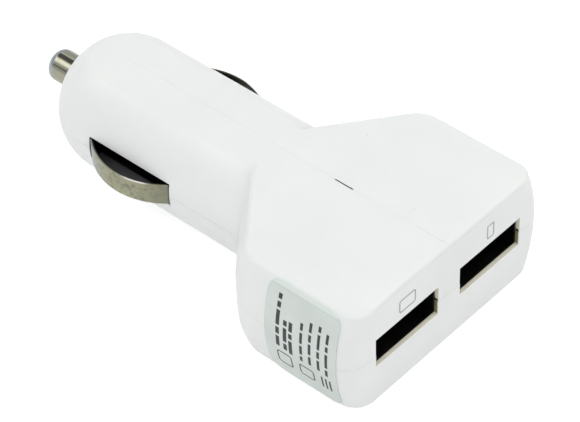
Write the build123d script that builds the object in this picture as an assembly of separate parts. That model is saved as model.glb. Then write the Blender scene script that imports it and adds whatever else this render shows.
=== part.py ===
# Two-port USB charger plug for a car's 12 V socket: a moulded housing in two halves, a sprung tip contact,
# two sprung side contacts, and a converter board behind two USB-A sockets. All sizes are millimetres.
# Frame: +Z up, X across, +Y along the plug towards its tip. The origin is on the plug's axis at the barrel's
# root, where the shoulders of the head run into the flat top of the barrel.
from build123d import *
import math
import os

# Housing: a flat-topped head that narrows by two shoulders into a round barrel with a flat top and bottom
body_height = 17.7
barrel_diameter = 20.7
barrel_edge_round = 2.5
nose_end = 38.65
nose_flat = 2.3  # across the flat at the end of the nose, within the tip contact's bore
head_length = 30.0
head_width = 37.2
side_bulge = 1.85
shoulder_angle = 38.0
shoulder_root = 5.37  # half the width between the shoulders where they reach the barrel's flat top
front_corner_round = 3.0
side_corner_round = 4.0
middle_corner_round = 12.0
edge_break = 0.45
seam_width = 0.1
seam_depth = 0.06
wall = 1.8
nose_wall = 2.5
rim_width = 0.8
rim_height = 0.9
rim_fit = 0.1
smallest_round = 0.3

# Ports, light slit and the fine line along the top
port_width = 12.8
port_height = 5.0
port_from_side = 9.9
port_rise = 0.36
port_step = 0.12
port_wall = 0.75
slit_length = 3.2
slit_width = 0.4
slit_from_front = 16.8
line_width = 0.12
line_depth = 0.025
line_end = 30.0

# Side contacts and their slots in the barrel
slot_length = 15.5
slot_height = 4.05
slot_from_root = 11.7
leaf_width = 3.5
leaf_thickness = 0.4
leaf_radius = 11.3
leaf_rise = 2.75
leaf_end_gap = 0.2
leaf_foot = 2.0
leaf_seat_wall = 1.6
leaf_side_gap = 0.2

# Tip contact, its spring and its terminal
pin_diameter = 5.0
pin_reach = 5.35
pin_round = 1.4
pin_fit = 0.12
flange_diameter = 8.0
flange_thickness = 1.4
flange_seat_fit = 0.25
spigot_diameter = 3.0
spigot_length = 1.6
spring_length = 8.6
spring_diameter = 5.6
spring_wire = 0.6
spring_turns = 5.5
spring_runs_a_turn = 12
spring_wire_sides = 6
terminal_width = 6.4
terminal_height = 6.0
terminal_thickness = 0.4
terminal_foot = 3.4

# Circuit board and its posts
board_thickness = 1.6
board_side_gap = 1.0
board_front_gap = 0.4
board_shoulder_gap = 1.0
board_tail_width = 10.0
board_tail_end_gap = 0.3
post_diameter = 3.4
post_pin_diameter = 1.8
post_pin_fit = 0.1
post_pin_length = 1.8
post_from_edge = 2.3
post_from_socket = 3.05
middle_ribs = (-24.0, 9.0, 20.6)
rib_length = 3.4
rib_thickness = 1.6

# USB-A sockets
usb_inner_width = 12.5
usb_inner_height = 5.12
usb_metal = 0.3
usb_length = 14.0
usb_corner_round = 0.6
usb_seat_fit = 0.1
usb_tab_width = 1.2
usb_tab_places = (3.6, 9.6)
hole_fit = 0.12
pin_stub = 0.8
tongue_width = 11.1
tongue_thickness = 1.84
tongue_top_gap = 0.7
tongue_front_gap = 1.6
tongue_base_length = 4.4
tongue_base_fit = 0.1
contact_width = 1.0
contact_thickness = 0.3
contact_places = (-3.5, -1.0, 1.0, 3.5)
contact_front_gap = 0.8

# Parts on the board
can_diameter = 6.3
lead_width = 0.5
lead_pitch = 2.5
input_can_length = 11.0
input_can_from_root = 7.2
output_can_height = 8.0
parts_gap = 0.45
inductor_size = 7.6
inductor_corner = 1.6
inductor_waist = 4.4
inductor_height = 5.0
inductor_flange = 1.0
winding_inset = 0.4
chip_size = (4.9, 3.9, 1.5)
chip_place = (0.0, -6.6)
chip_standoff = 0.1
chip_legs_a_side = 4
chip_leg_pitch = 1.27
chip_leg_width = 0.42
chip_leg_span = 6.0
chip_leg_thickness = 0.2
diode_size = (4.3, 2.6, 2.1)
diode_place = (0.0, -1.2)
led_diameter = 3.0
led_height = 4.8
led_rim = 0.4
led_rim_height = 1.0
led_lead_pitch = 2.54
led_top_gap = 0.3
resistor_size = (2.0, 1.25, 0.5)
resistor_places = ((-3.4, 1.6), (3.4, 1.6), (-3.4, 3.6), (3.4, 3.6))
ceramic_size = (2.0, 1.25, 1.0)
ceramic_front_place = (3.7, -1.2)
ceramic_rear_x = 2.6
ceramic_rear_gap = 0.7
ground_lead_diameter = 0.9
ground_lead_pad = (3.9, 5.4)

# Label on the head's left side
label_thickness = 0.12
label_front = -27.6
label_back = -15.2
label_round = 2.0
label_edge_gap = 0.3

# Sizes that follow from the ones above
half_height = body_height / 2
barrel_radius = barrel_diameter / 2
flat_half_width = math.sqrt(barrel_radius**2 - half_height**2)
shoulder = math.radians(shoulder_angle)
nose_round = (barrel_diameter - nose_flat) / 2
front_face = -head_length
port_pitch = head_width - 2 * port_from_side
floor_z = wall - half_height
ceiling_z = half_height - wall
slot_middle = slot_from_root + slot_length / 2
leaf_seat_x = barrel_radius - leaf_seat_wall
leaf_bend = leaf_end_gap + leaf_thickness / 2  # its inside clears the slot's end
flange_face = nose_end - nose_wall
flange_back = flange_face - flange_thickness
terminal_face = flange_back - spring_length
usb_outer_width = usb_inner_width + 2 * usb_metal
usb_outer_height = usb_inner_height + 2 * usb_metal
usb_mouth = front_face + port_wall
usb_back = usb_mouth + usb_length
parts_front = usb_back + contact_thickness + parts_gap
side_post_y = usb_back + post_from_socket
board_top = port_rise - usb_outer_height / 2
board_bottom = board_top - board_thickness
board_front = front_face + wall + board_front_gap
board_end = terminal_face + board_tail_end_gap
slit_middle = front_face + slit_from_front + slit_length / 2


def block(x, y, z):
    """A box from its low and high limits on each axis."""
    limits = (x, y, z)
    middle = [(low + high) / 2 for low, high in limits]
    return Pos(*middle) * Box(*[high - low for low, high in limits])


def post(radius, x, y, bottom, top):
    """An upright cylinder between two heights."""
    return Pos(x, y, (bottom + top) / 2) * Cylinder(radius, top - bottom)


def rod(radius, start, end):
    """A cylinder that lies along the plug's axis."""
    return Pos(0, (start + end) / 2, 0) * Rot(X=90) * Cylinder(radius, end - start)


def around(half_width, middle=0.0):
    """Limits the same distance either side of a middle."""
    return (middle - half_width, middle + half_width)


# Housing


def bulge_at(z):
    """How far the sides and shoulders swell out at a height: most at mid height."""
    return side_bulge * (1 - (z / half_height) ** 2)


def head_plan(step, front_y, corner_round):
    """Plan of the head with its sides and shoulders moved out by a step, cut off inside the barrel."""
    side = head_width / 2 + step
    root_x = shoulder_root + step * math.sin(shoulder)
    root_y = step * math.cos(shoulder)
    back_x = shoulder_root / 2
    corner_y = root_y - (side - root_x) * math.tan(shoulder)
    back_y = root_y + (root_x - back_x) * math.tan(shoulder)
    right = [(side, front_y), (side, corner_y), (back_x, back_y)]
    left = [(-x, y) for x, y in reversed(right)]
    plan = make_face(Polyline(*right, *left, close=True))
    side_corners = plan.vertices().filter_by(lambda corner: abs(corner.X) > back_x + smallest_round)
    return fillet(side_corners.group_by(Axis.Y)[-1], max(corner_round, smallest_round))


def head_form(inset):
    """The head: a prism over its plan, bulged along sides and shoulders, with its rear corners eased."""
    half = half_height - inset
    side = head_width / 2 - inset
    front_y = front_face + inset
    plan = head_plan(-inset, front_y, side_corner_round - inset)
    head = Pos(0, 0, -half) * extrude(plan, 2 * half)
    start = Plane(origin=(side, front_y, 0), x_dir=(1, 0, 0), z_dir=(0, -1, 0))
    bow = ThreePointArc((0, -half), (side_bulge, 0), (0, half))
    section = start * make_face([bow, Line((0, half), (0, -half))])
    path = plan.edges().filter_by(lambda edge: edge.center().X > shoulder_root / 2)
    bulge = sweep(section, Wire(path.sort_by(Axis.Y)))
    head += bulge + mirror(bulge, Plane.YZ)
    eased = head_plan(side_bulge - inset, front_y, middle_corner_round - inset)
    head &= Pos(0, 0, -half) * extrude(eased, 2 * half)
    upright = head.edges().filter_by(lambda edge: abs(edge.center().X) > side)
    head = fillet(upright.group_by(Axis.Y)[0], front_corner_round - inset)
    rims = head.faces().filter_by(Axis.Z).edges()
    back_y = rims.sort_by(Axis.Y)[-1].center().Y
    return chamfer(rims.filter_by(lambda edge: edge.center().Y < back_y - smallest_round), edge_break)


def plug_form():
    """The barrel with its blunt round nose, cut flat above and below, the edges of the flats rounded."""
    back = front_face / 2
    plug = rod(barrel_radius, back, nose_end)
    plug = fillet(plug.edges().group_by(Axis.Y)[-1], nose_round)
    plug &= block(around(barrel_radius), (back, nose_end), around(half_height))
    rims = plug.faces().filter_by(Axis.Z).edges()
    return fillet(rims.filter_by(lambda edge: edge.center().Y > back + smallest_round), barrel_edge_round)


def inner_step():
    """How far the straight inner walls stand from the edge of the flat top: a full wall at the ceiling."""
    return bulge_at(ceiling_z) - wall


def hollow(growth):
    """The inside of the housing, grown by part of the wall: straight sides and a taper to the tip's seat."""
    half = ceiling_z + growth
    step = inner_step() + growth
    plan = head_plan(step, front_face + wall - growth, side_corner_round + step)
    corner_round = max(front_corner_round - wall + growth, smallest_round)
    plan = fillet(plan.vertices().group_by(Axis.Y)[0], corner_round)
    head = Pos(0, 0, -half) * extrude(plan, 2 * half)
    radius = barrel_radius - wall + growth
    seat = flange_diameter / 2 + flange_seat_fit + growth
    back = front_face / 2
    end = flange_face + growth
    taper = nose_end - nose_round
    side = Polyline((0, back), (radius, back), (radius, taper), (seat, end), (0, end), close=True)
    return head + (revolve(make_face(side), Axis.Y) & block(around(radius), (back, end), around(half)))


def seam_groove():
    """Fine groove round the outside where the two halves meet."""
    half = seam_width / 2
    plan = head_plan(side_bulge - seam_depth, front_face + seam_depth, middle_corner_round - seam_depth)
    plan = fillet(plan.vertices().group_by(Axis.Y)[0], front_corner_round - seam_depth)
    plug = rod(barrel_radius - seam_depth, front_face / 2, nose_end - seam_depth)
    plug = fillet(plug.edges().group_by(Axis.Y)[-1], nose_round - seam_depth)
    return band(-half, half) - Pos(0, 0, -half) * extrude(plan, seam_width) - plug


def band(bottom, top):
    """Everything in the housing's reach between two heights."""
    reach = nose_end + head_length
    return block(around(reach), around(reach), (bottom, top))


def port_cut(side, upper):
    """Opening of one port in one half: a little wider above the seam than below it."""
    half_width = port_width / 2 + (port_step if upper else 0) / 2
    middle = side * port_pitch / 2
    limits = (0, port_rise + port_height / 2) if upper else (port_rise - port_height / 2, 0)
    return block(around(half_width, middle), (front_face - wall, front_face + 2 * wall), limits)


def usb_seat(side):
    """Pocket behind a port that takes the socket's metal shell."""
    half_width = usb_outer_width / 2 + usb_seat_fit
    half = usb_outer_height / 2 + usb_seat_fit
    depth = (usb_mouth - usb_seat_fit, usb_mouth + 2 * wall)
    return block(around(half_width, side * port_pitch / 2), depth, around(half, port_rise))


def contact_cut(side):
    """Slot for a side contact, and the flat seats for its two feet inside the wall."""
    ends = around(slot_length / 2, slot_middle)
    foot_half = slot_length / 2 + leaf_foot + leaf_end_gap
    outside = barrel_radius + leaf_rise
    slot = block((flat_half_width, outside), ends, around(slot_height / 2))
    seat_half = leaf_width / 2 + leaf_side_gap
    seat = block((flat_half_width, leaf_seat_x), around(foot_half, slot_middle), around(seat_half))
    cut = slot + seat
    return cut if side > 0 else mirror(cut, Plane.YZ)


def nose_cut():
    """Bore for the tip contact."""
    return rod(pin_diameter / 2 + pin_fit, flange_back, nose_end + pin_reach)


def shared_cuts(upper):
    """All that is cut through one half of the housing."""
    cuts = nose_cut()
    for side in (-1, 1):
        cuts += port_cut(side, upper) + usb_seat(side) + contact_cut(side)
    return cuts


def upper_shell(form, inside):
    """Upper half: light slit, line along the top, rebate for the rim and posts over the board's pins."""
    shell = (form - inside) & band(0, body_height)
    shell -= hollow(rim_width + rim_fit) & band(0, rim_height + rim_fit)
    for x in around(post_x()):
        shell += post(post_diameter / 2, x, side_post_y, board_top, ceiling_z + wall / 2)
        pin_hole = post_pin_diameter / 2 + post_pin_fit
        shell -= post(pin_hole, x, side_post_y, board_top, board_top + post_pin_length + post_pin_fit)
    slit = around(slit_length / 2, slit_middle)
    shell -= block(around(slit_width / 2), slit, (ceiling_z - wall, half_height + wall))
    line = (front_face - wall, line_end)
    shell -= block(around(line_width / 2), line, (half_height - line_depth, half_height + wall))
    return shell - shared_cuts(True)


def lower_shell(form, inside):
    """Lower half: locating rim along the seam, and the posts and ribs that carry the board."""
    shell = (form - inside) & band(-body_height, 0)
    shell += (hollow(rim_width) - inside) & band(0, rim_height)
    shell -= shared_cuts(False)
    post_radius = post_diameter / 2
    for x in around(post_x()):
        shell += post(post_radius, x, side_post_y, floor_z - wall / 2, board_bottom)
        shell += post(post_pin_diameter / 2, x, side_post_y, board_bottom, board_top + post_pin_length)
    for y in middle_ribs:
        along = around(rib_thickness / 2, y)
        shell += block(around(rib_length / 2), along, (floor_z - wall / 2, board_bottom))
    return shell


def rating_label():
    """Thin sticker that follows the bulged left side and the broken edges above and below it."""
    sheet = head_form(-label_thickness) - head_form(0)
    middle = (label_front + label_back) / 2
    height = body_height - 2 * label_edge_gap
    outline = Plane.YZ * Pos(middle, 0) * RectangleRounded(label_back - label_front, height, label_round)
    reach = head_width / 2 + side_bulge
    return sheet & Pos(-reach, 0, 0) * extrude(outline, reach / 2, both=True)


# Contacts


def side_contact(side):
    """Hat-shaped leaf: a bowed strip with two legs into the slot and two feet behind the slot's ends."""
    middle_radius = leaf_radius - leaf_thickness / 2
    peak = barrel_radius + leaf_rise - leaf_thickness / 2
    leg = slot_length / 2 - leaf_end_gap - leaf_thickness / 2
    leg_top = peak - middle_radius + math.sqrt(middle_radius**2 - leg**2)
    foot_x = leaf_seat_x - leaf_thickness / 2
    foot_end = leg + leaf_foot
    front_leg = Polyline((foot_x, -foot_end), (foot_x, -leg), (leg_top, -leg))
    bow = ThreePointArc((leg_top, -leg), (peak, 0), (leg_top, leg))
    rear_leg = Polyline((leg_top, leg), (foot_x, leg), (foot_x, foot_end))
    strip = Wire(front_leg.edges() + bow.edges() + rear_leg.edges())
    bends = strip.vertices().filter_by(lambda corner: abs(corner.Y) < leg + smallest_round)
    strip = strip.fillet_2d(leaf_bend, bends)
    leaf = extrude(trace(strip, leaf_thickness), leaf_width / 2, both=True)
    leaf = Pos(0, slot_middle, 0) * leaf
    return leaf if side > 0 else mirror(leaf, Plane.YZ)


def tip_contact():
    """Turned pin with a rounded end, a flange that stops behind the nose and a spigot for the spring."""
    end = nose_end + pin_reach
    pin = rod(pin_diameter / 2, flange_face, end)
    pin = fillet(pin.edges().group_by(Axis.Y)[-1], pin_round)
    flange = rod(flange_diameter / 2, flange_back, flange_face)
    return pin + flange + rod(spigot_diameter / 2, flange_back - spigot_length, flange_back)


def tip_spring():
    """Coil between the board's terminal and the tip's flange, in short straight runs of six-sided wire."""
    rise = spring_length - spring_wire
    coil_radius = (spring_diameter - spring_wire) / 2
    start = terminal_face + spring_wire / 2
    runs = round(spring_turns * spring_runs_a_turn)
    points = []
    for run in range(runs + 1):
        angle = math.tau * run / spring_runs_a_turn
        x, z = coil_radius * math.cos(angle), coil_radius * math.sin(angle)
        points.append((x, start + rise * run / runs, z))
    path = Polyline(*points)
    section = Plane(origin=path @ 0, z_dir=path % 0) * RegularPolygon(spring_wire / 2, spring_wire_sides)
    return sweep(section, path, transition=Transition.RIGHT)


def tip_terminal():
    """Bent bracket: a foot on the board and an upright plate that the spring bears on."""
    width = around(terminal_width / 2)
    back = terminal_face - terminal_thickness
    foot = block(width, (back - terminal_foot, terminal_face), (board_top, board_top + terminal_thickness))
    return foot + block(width, (back, terminal_face), (board_top, board_top + terminal_height))


def ground_lead(side):
    """Short flexible lead from a side contact's front foot to its pad on the board."""
    radius = ground_lead_diameter / 2
    pad_x, pad_y = ground_lead_pad
    foot_x = leaf_seat_x - leaf_thickness - radius
    foot_y = slot_from_root + leaf_end_gap
    path = Polyline((foot_x, foot_y, 0), (pad_x, pad_y, 0), (pad_x, pad_y, board_top))
    section = Plane(origin=path @ 0, z_dir=path % 0) * Circle(radius)
    lead = sweep(section, path, transition=Transition.RIGHT)
    return lead if side > 0 else mirror(lead, Plane.YZ)


# Sockets


def usb_shell(side):
    """Folded metal shell: an open box with four tabs that pass through the board."""
    x = side * port_pitch / 2
    outer = RectangleRounded(usb_outer_width, usb_outer_height, usb_corner_round)
    inner_round = usb_corner_round - usb_metal
    inner = RectangleRounded(usb_inner_width, usb_inner_height, inner_round)
    section = Plane(origin=(x, usb_mouth, port_rise), x_dir=(1, 0, 0), z_dir=(0, 1, 0)) * (outer - inner)
    shell = extrude(section, usb_length)
    for place in usb_tab_places:
        for edge in (-1, 1):
            shell += usb_tab(x, edge, usb_mouth + place, 0)
    return shell


def usb_tab(x, edge, y, fit):
    """One tab of a socket's shell, or with a fit the hole for it."""
    inner_face = usb_inner_width / 2 - fit
    outer_face = usb_outer_width / 2 + fit
    across = sorted((x + edge * inner_face, x + edge * outer_face))
    along = around(usb_tab_width / 2 + fit, y)
    return block(across, along, (board_bottom - pin_stub, port_rise - usb_outer_height / 4))


def tongue_under():
    """Height of the tongue's underside, where the contacts lie."""
    return port_rise + usb_inner_height / 2 - tongue_top_gap - tongue_thickness


def usb_tongue(side):
    """Insulator: a block that closes the back of the shell and a tongue that reaches to near the mouth."""
    x = side * port_pitch / 2
    under = tongue_under()
    front = usb_mouth + tongue_front_gap
    tongue = block(around(tongue_width / 2, x), (front, usb_back), (under, under + tongue_thickness))
    half_width = usb_inner_width / 2 - tongue_base_fit
    half = usb_inner_height / 2 - tongue_base_fit
    depth = (usb_back - tongue_base_length, usb_back)
    insulator = tongue + block(around(half_width, x), depth, around(half, port_rise))
    for offset in contact_places:
        insulator -= contact_strip(x + offset)
    return insulator


def contact_strip(x):
    """The straight part of a contact, let into the underside of the tongue."""
    under = tongue_under()
    front = usb_mouth + tongue_front_gap + contact_front_gap
    end = usb_back + contact_thickness
    return block(around(contact_width / 2, x), (front, end), (under, under + contact_thickness))


def contact_leg(x, fit):
    """The leg of a contact behind the socket, down through the board, or with a fit the hole for it."""
    across = around(contact_width / 2 + fit, x)
    along = (usb_back - fit, usb_back + contact_thickness + fit)
    return block(across, along, (board_bottom - pin_stub, tongue_under() + contact_thickness))


def usb_contacts(side):
    """The four contact strips of one socket."""
    x = side * port_pitch / 2
    return [contact_strip(x + offset) + contact_leg(x + offset, 0) for offset in contact_places]


# Board and the parts on it


def board_half():
    """Half the board's width under the sockets, a gap inside the housing's walls."""
    return head_width / 2 + inner_step() - board_side_gap


def post_x():
    """How far the two board posts stand from the middle."""
    return board_half() - post_from_edge


def beside_post(width):
    """Distance from the middle of a part of that width, set close inside a post."""
    return post_x() - post_diameter / 2 - parts_gap - width / 2


def board_plan():
    """Outline of the board: wide under the sockets, then narrowing beside the shoulders into the barrel."""
    half = board_half()
    tail = board_tail_width / 2
    step = inner_step()
    slope = math.tan(shoulder)
    root_x = shoulder_root + step * math.sin(shoulder)
    root_y = step * math.cos(shoulder) - board_shoulder_gap / math.cos(shoulder)
    half_y = root_y - (half - root_x) * slope
    tail_y = root_y - (tail - root_x) * slope
    right = [(half, board_front), (half, half_y), (tail, tail_y), (tail, board_end)]
    left = [(-x, y) for x, y in reversed(right)]
    return make_face(Polyline(*right, *left, close=True))


def board_holes():
    """Holes for the socket tabs, contact legs, locating pins and wire leads."""
    holes = []
    for side in (-1, 1):
        x = side * port_pitch / 2
        holes += [usb_tab(x, edge, usb_mouth + y, hole_fit) for y in usb_tab_places for edge in (-1, 1)]
        holes += [contact_leg(x + offset, hole_fit) for offset in contact_places]
    pin_hole = post_pin_diameter / 2 + post_pin_fit
    through = (board_bottom - board_thickness, board_top + board_thickness)
    holes += [post(pin_hole, x, side_post_y, *through) for x in around(post_x())]
    lead_half = lead_width / 2 + hole_fit
    for x, y in can_lead_places() + led_lead_places():
        holes.append(block(around(lead_half, x), around(lead_half, y), through))
    return holes


def circuit_board():
    """The board with all its holes."""
    return Pos(0, 0, board_bottom) * extrude(board_plan(), board_thickness) - board_holes()


def output_can_place():
    """The standing can's place, behind the left socket."""
    return -beside_post(can_diameter), parts_front + can_diameter / 2


def inductor_place():
    """The inductor's place, behind the right socket."""
    return beside_post(inductor_size), parts_front + inductor_size / 2


def can_lead_places():
    """Where the wire leads of the two cans pass through the board."""
    x, y = output_can_place()
    half = lead_pitch / 2
    lying_y = input_can_from_root - lead_pitch
    return [(x - half, y), (x + half, y), (-half, lying_y), (half, lying_y)]


def wire_lead(place, top):
    """A square lead from a height down through the board."""
    x, y = place
    half = lead_width / 2
    return block(around(half, x), around(half, y), (board_bottom - pin_stub, top))


def output_capacitor():
    """Standing can with two leads through the board."""
    x, y = output_can_place()
    part = post(can_diameter / 2, x, y, board_top, board_top + output_can_height)
    for place in can_lead_places()[:2]:
        part += wire_lead(place, board_top)
    return part


def input_capacitor():
    """Can that lies along the barrel, with its two leads bent down through the board."""
    axis_z = board_top + can_diameter / 2
    half = lead_width / 2
    can_end = input_can_from_root + input_can_length
    part = Pos(0, 0, axis_z) * rod(can_diameter / 2, input_can_from_root, can_end)
    for x, y in can_lead_places()[2:]:
        part += wire_lead((x, y), axis_z + half)
        part += block(around(half, x), (y, input_can_from_root), around(half, axis_z))
    return part


def inductor_core():
    """Ferrite bobbin: two square flanges with cut corners on a round waist."""
    x, y = inductor_place()
    top = board_top + inductor_height
    square = Rectangle(inductor_size, inductor_size)
    flange = extrude(chamfer(square.vertices(), inductor_corner), inductor_flange)
    core = post(inductor_waist / 2, x, y, board_top, top)
    for base in (board_top, top - inductor_flange):
        core += Pos(x, y, base) * flange
    return core


def inductor_winding():
    """Copper winding between the bobbin's flanges."""
    x, y = inductor_place()
    low = board_top + inductor_flange
    high = board_top + inductor_height - inductor_flange
    winding = post(inductor_size / 2 - winding_inset, x, y, low, high)
    return winding - post(inductor_waist / 2, x, y, low, high)


def on_board(size, place, standoff=0.0):
    """A flat-sided component on the board's top."""
    length, width, height = size
    x, y = place
    base = board_top + standoff
    return block(around(length / 2, x), around(width / 2, y), (base, base + height))


def converter_chip():
    """Body of the converter, with a bevel along its upper edges."""
    body = on_board(chip_size, chip_place, chip_standoff)
    return chamfer(body.edges().group_by(Axis.Z)[-1], smallest_round)


def chip_leads():
    """Bent leads along the two long sides of the converter."""
    x0, y0 = chip_place
    length, width, height = chip_size
    waist = board_top + chip_standoff + height / 2
    half_body = width / 2
    foot_end = chip_leg_span / 2
    knee = (half_body + foot_end) / 2
    points = [(half_body, waist), (knee, waist), (knee, board_top + chip_leg_thickness / 2)]
    line = Polyline(*points, (foot_end, board_top + chip_leg_thickness / 2))
    profile = Plane.YZ * trace(line, chip_leg_thickness)
    leg = extrude(profile, chip_leg_width / 2, both=True)
    leads = []
    middle = (chip_legs_a_side - 1) / 2
    for row in (-1, 1):
        turned = leg if row > 0 else mirror(leg, Plane.XZ)
        for index in range(chip_legs_a_side):
            leads.append(Pos(x0 + (index - middle) * chip_leg_pitch, y0, 0) * turned)
    return leads


def rectifier_diode():
    """Moulded diode with bevelled upper edges."""
    body = on_board(diode_size, diode_place)
    return chamfer(body.edges().group_by(Axis.Z)[-1], smallest_round)


def led_lead_places():
    """Where the lamp's two leads stand."""
    return [(-led_lead_pitch / 2, slit_middle), (led_lead_pitch / 2, slit_middle)]


def led_base():
    """Height of the lamp's foot."""
    return ceiling_z - led_top_gap - led_height


def indicator_led():
    """Round lamp with a flat top, close under the slit."""
    radius = led_diameter / 2
    base = led_base()
    lamp = post(radius, 0, slit_middle, base, base + led_height)
    return lamp + post(radius + led_rim, 0, slit_middle, base, base + led_rim_height)


def led_leads():
    """The lamp's two straight leads, down through the board."""
    return [wire_lead(place, led_base()) for place in led_lead_places()]


def ceramic_places():
    """Two ceramic capacitors beside the converter, and two in front of the tip's terminal."""
    x, y = ceramic_front_place
    rear_y = terminal_face - terminal_thickness - terminal_foot - ceramic_rear_gap - ceramic_size[1] / 2
    return [(-x, y), (x, y), (-ceramic_rear_x, rear_y), (ceramic_rear_x, rear_y)]


def small_parts(size, places):
    """A group of like surface-mounted parts."""
    return [on_board(size, place) for place in places]


def build():
    """Every piece by its node name."""
    form = head_form(0) + plug_form() - seam_groove()
    inside = hollow(0)
    pieces = {
        "upper_shell": upper_shell(form, inside),
        "lower_shell": lower_shell(form, inside),
        "rating_label": rating_label(),
        "tip_contact": tip_contact(),
        "tip_spring": tip_spring(),
        "tip_terminal": tip_terminal(),
        "circuit_board": circuit_board(),
        "input_capacitor": input_capacitor(),
        "output_capacitor": output_capacitor(),
        "inductor_core": inductor_core(),
        "inductor_winding": inductor_winding(),
        "converter_chip": converter_chip(),
        "chip_leads": chip_leads(),
        "rectifier_diode": rectifier_diode(),
        "indicator_led": indicator_led(),
        "led_leads": led_leads(),
        "chip_resistors": small_parts(resistor_size, resistor_places),
        "chip_capacitors": small_parts(ceramic_size, ceramic_places()),
    }
    for name, side in (("left", -1), ("right", 1)):
        pieces[f"side_contact_{name}"] = side_contact(side)
        pieces[f"ground_lead_{name}"] = ground_lead(side)
        pieces[f"usb_shell_{name}"] = usb_shell(side)
        pieces[f"usb_tongue_{name}"] = usb_tongue(side)
        pieces[f"usb_contacts_{name}"] = usb_contacts(side)
    return pieces


os.makedirs("parts", exist_ok=True)
for node, piece in build().items():
    shape = Compound(children=piece) if isinstance(piece, list) else piece
    export_step(shape, f"parts/{node}.step")
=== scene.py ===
import math

import bmesh
import bpy
from bpy.props import FloatProperty, FloatVectorProperty, PointerProperty
from mathutils import Matrix, Vector


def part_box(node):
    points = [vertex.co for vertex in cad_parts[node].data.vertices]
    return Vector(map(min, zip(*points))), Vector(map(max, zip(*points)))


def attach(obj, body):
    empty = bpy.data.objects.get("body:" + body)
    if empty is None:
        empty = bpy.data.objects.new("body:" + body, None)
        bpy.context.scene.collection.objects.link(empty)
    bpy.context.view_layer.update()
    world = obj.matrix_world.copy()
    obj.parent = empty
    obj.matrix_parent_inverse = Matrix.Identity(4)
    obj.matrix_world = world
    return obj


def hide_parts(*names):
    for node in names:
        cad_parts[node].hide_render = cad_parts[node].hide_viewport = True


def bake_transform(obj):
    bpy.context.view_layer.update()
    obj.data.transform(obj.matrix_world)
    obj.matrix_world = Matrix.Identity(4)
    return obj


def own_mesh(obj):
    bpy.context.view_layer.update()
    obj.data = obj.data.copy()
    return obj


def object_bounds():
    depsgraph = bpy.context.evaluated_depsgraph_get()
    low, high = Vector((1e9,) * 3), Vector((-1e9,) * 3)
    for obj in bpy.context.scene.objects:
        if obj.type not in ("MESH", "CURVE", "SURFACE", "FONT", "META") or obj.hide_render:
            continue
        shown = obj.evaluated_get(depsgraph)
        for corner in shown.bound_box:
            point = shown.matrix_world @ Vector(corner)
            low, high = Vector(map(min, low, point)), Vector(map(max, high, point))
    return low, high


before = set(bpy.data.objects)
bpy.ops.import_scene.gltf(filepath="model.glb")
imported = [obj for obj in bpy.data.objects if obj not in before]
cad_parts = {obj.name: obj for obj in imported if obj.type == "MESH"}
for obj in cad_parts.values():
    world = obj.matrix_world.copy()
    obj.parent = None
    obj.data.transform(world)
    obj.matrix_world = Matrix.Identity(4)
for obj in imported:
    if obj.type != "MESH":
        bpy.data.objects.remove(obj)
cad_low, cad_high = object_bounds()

bl_info = {
    "name": "Car charger plug",
    "version": (1, 0, 0),
    "blender": (4, 5, 0),
    "location": "3D View > Sidebar > Charger",
    "description": "Dresses the solids of a two-port car charger plug and sets its studio",
    "category": "Object",
}

MM = 0.001
X, Z = 0, 2

# Points closer than this are one point, and faces that turn less than this are one flat face
JOIN_DISTANCE = 0.000002
FLAT_TURN = math.radians(0.2)

# Sizes of the solids that model.glb doesn't give
HALF_SEAM = 0.05 * MM
HALF_SLIT = 0.2 * MM

# The inner corner at the barrel's root: its least distance from the axis, its place along the plug, its fold
ROOT_RADIUS = 9.6 * MM
ROOT_START, ROOT_END = -1.7 * MM, 0.2 * MM
ROOT_FOLD = math.radians(-40)

# How far the painted shade of a contact slot's walls reaches above its leaf, and the hollow's painted shade
# past the leaf's ends
SLOT_SPARE = 0.5 * MM
HOLLOW_SPARE = 4.5 * MM

# How far the painted highlight on a port's lips keeps from its front and back, and where the painted shade
# on its side walls starts and ends
LIP_MARGIN = 0.03 * MM
WALL_START, WALL_PAST = 0.15 * MM, 0.1 * MM

# Half the width and length of the painted shade inside the light slit, and how far below the top it stops
SLIT_SHADE = (0.3 * MM, 1.7 * MM)
SLIT_RIM = 0.06 * MM

# A face looks sideways where its normal's share along X is over this
SIDEWAYS = 0.7

# How much of the plastic's light passes through it, and how far its red, green and blue go
SCATTER_WEIGHT = 0.5
SCATTER_COLOURS = (1, 0.92, 0.78)

# Depths under a leaf's face where the painted shade of its back fades in, and under its edge where the
# painted edge highlight fades in
BACK_SHADE_FADE = (0.12 * MM, 0.26 * MM)
EDGE_HIGHLIGHT_FADE = (0.14 * MM, 0.06 * MM)

# Distances from the pin's end between which the painted bluish reflection fades in
COOL_REFLECTION_FADE = (1.9 * MM, 0.9 * MM)

# The spring's wire has this many sides, and a turn of it this many steps
WIRE_SIDES = 10
TURN_STEPS = 20

# Printed lines on the sticker, in millimetres: place along the plug, start and end height, width of the bars
PRINTED_LINES = (
    (-17.5, -2.1, 6.9, 0.62),
    (-18.8, -2.2, 3.4, 0.62),
    (-19.75, -2.4, 4.2, 0.62),
    (-21.6, -2.4, 5.2, 0.46),
    (-23.1, -2.2, 5.3, 0.46),
    (-24.6, -2.2, 6.0, 0.46),
    (-26.0, -2.4, 5.7, 0.46),
)
WORD_LENGTHS = (1.9, 1.2, 2.5, 0.9, 1.6)

# Frames and strokes under the lines, in millimetres: place along the plug, height, own width and height
PRINTED_FRAMES = ((-18.4, -4.4, 2.6, 2.6), (-22.3, -4.4, 2.6, 2.2))
PRINTED_STROKES = tuple((y, -4.3, 0.3, 2.2) for y in (-25.0, -25.7, -26.4))

# Width and height of the outline over each port: a tablet and a phone
PORT_MARKS = {"left": (3.4 * MM, 2.3 * MM), "right": (1.5 * MM, 2.5 * MM)}

# Print lies on these two directions: across and up
FACING_LEFT = ((0, -1, 0), (0, 0, 1))
FACING_FRONT = ((1, 0, 0), (0, 0, 1))

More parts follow.
